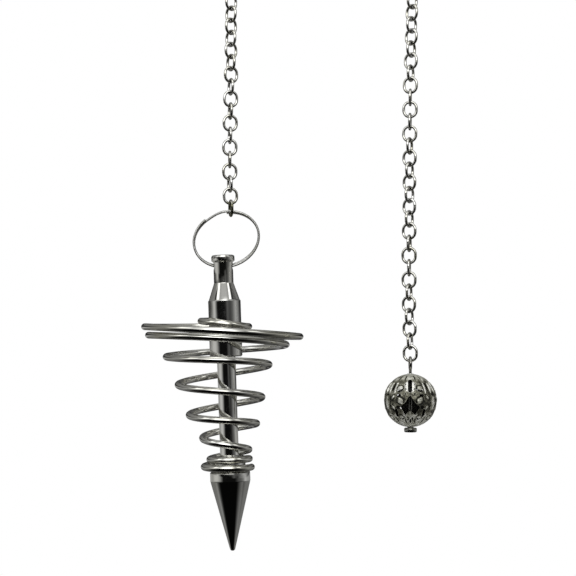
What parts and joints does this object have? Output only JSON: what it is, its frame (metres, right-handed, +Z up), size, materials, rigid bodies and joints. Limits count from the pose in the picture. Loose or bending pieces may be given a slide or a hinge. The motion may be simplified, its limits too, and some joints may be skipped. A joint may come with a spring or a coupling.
{
  "type": "spiral pendulum pendant on a cable chain",
  "caption": "Turned pendulum drop with a loose wire spiral round its stem, hung by a split ring from a cable chain whose other end carries a pierced ball.",
  "frame": {"origin": "top of the chain's bend, on the middle of the links, where the chain hangs over a finger or a hook", "axes": "+Z up, +X from the strand with the pendant to the strand with the ball, -Y towards the viewer of the picture"},
  "size_m": [0.0649, 0.035, 0.1497],
  "materials": {
    "bright_plate": "mirror polished nickel-like plate on turned brass, with faint smudges and fine turning marks",
    "spiral_wire": "bright plated round wire, faintly drawn along its length",
    "chain_wire": "bright plated link wire with slightly duller insides",
    "ring_wire": "bright spring wire",
    "pin_wire": "darkened plated wire with bright high spots",
    "antique_plate": "antique silver tone, dark in the hollows and bright on the raised edges"
  },
  "bodies": {
    "hanger": {"chain": "chain_wire", "eye_pin": "pin_wire", "ball": "antique_plate"},
    "ring": {"split_ring": "ring_wire"},
    "pendant": {"cap": "bright_plate", "stem": "bright_plate", "coil": "spiral_wire", "point": "bright_plate"}
  },
  "joints": [
    {"name": "ring_swing", "type": "hinge", "parent": "hanger", "child": "ring", "pos_m": [-0.02015, 0, -0.07365], "axis": [1, 0, 0], "range_deg": [-60, 60]},
    {"name": "pendant_swing", "type": "hinge", "parent": "ring", "child": "pendant", "pos_m": [-0.02182, 0, -0.08624], "axis": [1, 0, 0], "range_deg": [-60, 60]}
  ]
}
